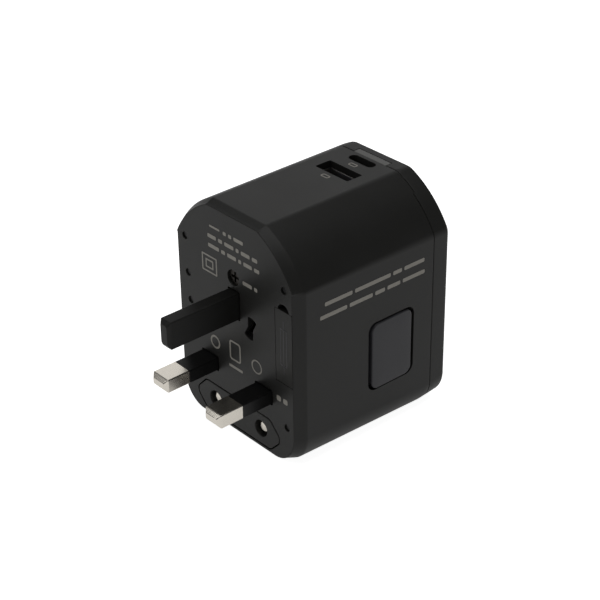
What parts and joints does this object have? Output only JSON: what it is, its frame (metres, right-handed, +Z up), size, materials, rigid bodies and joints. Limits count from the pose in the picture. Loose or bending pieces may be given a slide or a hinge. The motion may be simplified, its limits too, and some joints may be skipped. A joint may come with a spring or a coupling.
{
  "type": "universal travel adapter",
  "caption": "Block-shaped travel adapter with sliding flat, round and blade plug sets, a side release button, charging ports on top and a shuttered socket behind.",
  "frame": {"origin": "centre of the base, under the middle of the body", "axes": "+Z up from the base, -Y is the plug face and +Y the socket side, +X is the side with the release button"},
  "size_m": [0.0534, 0.0758, 0.0669],
  "materials": {
    "matte_black": "fine texture",
    "smooth_black": "smooth",
    "dark_grey": "smooth satin",
    "nickel": "nickel plate",
    "spring_steel": "drawn wire",
    "brass": "bare strip",
    "port_blue": "smooth",
    "board_green": "lacquered",
    "ferrite": "sintered",
    "winding_tape": "tape",
    "capacitor_sleeve": "shrink sleeve",
    "led_epoxy": "moulded",
    "smoked_clear": "translucent",
    "fuse_glass": "clear"
  },
  "bodies": {
    "housing": {"housing_shell": "matte_black", "front_plate": "matte_black", "rear_cap": "matte_black", "light_pipe": "smoked_clear", "chassis": "smooth_black", "contact_block": "smooth_black", "contact_live": "brass", "contact_neutral": "brass", "rail_live": "brass", "rail_neutral": "brass", "plate_pegs": "smooth_black", "centre_screw": "nickel", "usb_board": "board_green", "usb_a_shell": "nickel", "usb_a_tongue": "port_blue", "usb_a_contacts": "brass", "usb_c_shell": "nickel", "usb_c_tongue": "smooth_black", "transformer_core": "ferrite", "transformer_winding": "winding_tape", "filter_capacitors": "capacitor_sleeve", "indicator_led": "led_epoxy", "main_fuse": "fuse_glass", "fuse_clips": "brass"},
    "uk_plug": {"uk_carriage": "smooth_black", "uk_pin_left": "nickel", "uk_pin_right": "nickel", "uk_sleeves": "smooth_black", "uk_earth_pin": "smooth_black", "uk_wipers": "brass", "uk_knob": "dark_grey"},
    "eu_plug": {"eu_carriage": "smooth_black", "eu_pins": "nickel", "eu_wipers": "brass", "eu_knob": "dark_grey"},
    "eu_nose_body": {"eu_nose": "matte_black"},
    "us_plug": {"us_carriage": "smooth_black", "us_knob": "dark_grey"},
    "us_left": {"us_rotor_left": "dark_grey", "us_blade_left": "nickel"},
    "us_right": {"us_rotor_right": "dark_grey", "us_blade_right": "nickel"},
    "button": {"release_button": "dark_grey", "latch_bar": "smooth_black", "button_springs": "spring_steel"},
    "shutter_body": {"shutter": "dark_grey", "shutter_spring": "spring_steel"},
    "drawer": {"fuse_drawer": "matte_black", "spare_fuse": "fuse_glass"}
  },
  "joints": [
    {"name": "uk_slide", "type": "slide", "parent": "housing", "child": "uk_plug", "axis": [0, 1, 0], "range_m": [0, 0.0228]},
    {"name": "eu_slide", "type": "slide", "parent": "housing", "child": "eu_plug", "axis": [0, -1, 0], "range_m": [0, 0.0305]},
    {"name": "eu_nose_slide", "type": "slide", "parent": "housing", "child": "eu_nose_body", "axis": [0, -1, 0], "range_m": [0, 0.0119]},
    {"name": "us_slide", "type": "slide", "parent": "housing", "child": "us_plug", "axis": [0, -1, 0], "range_m": [0, 0.02]},
    {"name": "us_turn_left", "type": "hinge", "parent": "us_plug", "child": "us_left", "pos_m": [-0.00635, 0, 0.0361], "axis": [0, -1, 0], "range_deg": [0, 30]},
    {"name": "us_turn_right", "type": "hinge", "parent": "us_plug", "child": "us_right", "pos_m": [0.00635, 0, 0.0361], "axis": [0, 1, 0], "range_deg": [0, 30]},
    {"name": "button_press", "type": "slide", "parent": "housing", "child": "button", "axis": [-1, 0, 0], "range_m": [0, 0.0016], "stiffness_N_per_m": 900, "springref_m": -0.001, "deforming": ["button_springs"]},
    {"name": "shutter_lift", "type": "slide", "parent": "housing", "child": "shutter_body", "axis": [0, 0, 1], "range_m": [0, 0.0085], "stiffness_N_per_m": 60, "springref_m": -0.002, "deforming": ["shutter_spring"]},
    {"name": "drawer_pull", "type": "slide", "parent": "housing", "child": "drawer", "axis": [0, -1, 0], "range_m": [0, 0.0095]}
  ],
  "couplings": [
    {"joint": "eu_nose_slide", "follows": "eu_slide", "ratio": 0.38688}
  ]
}
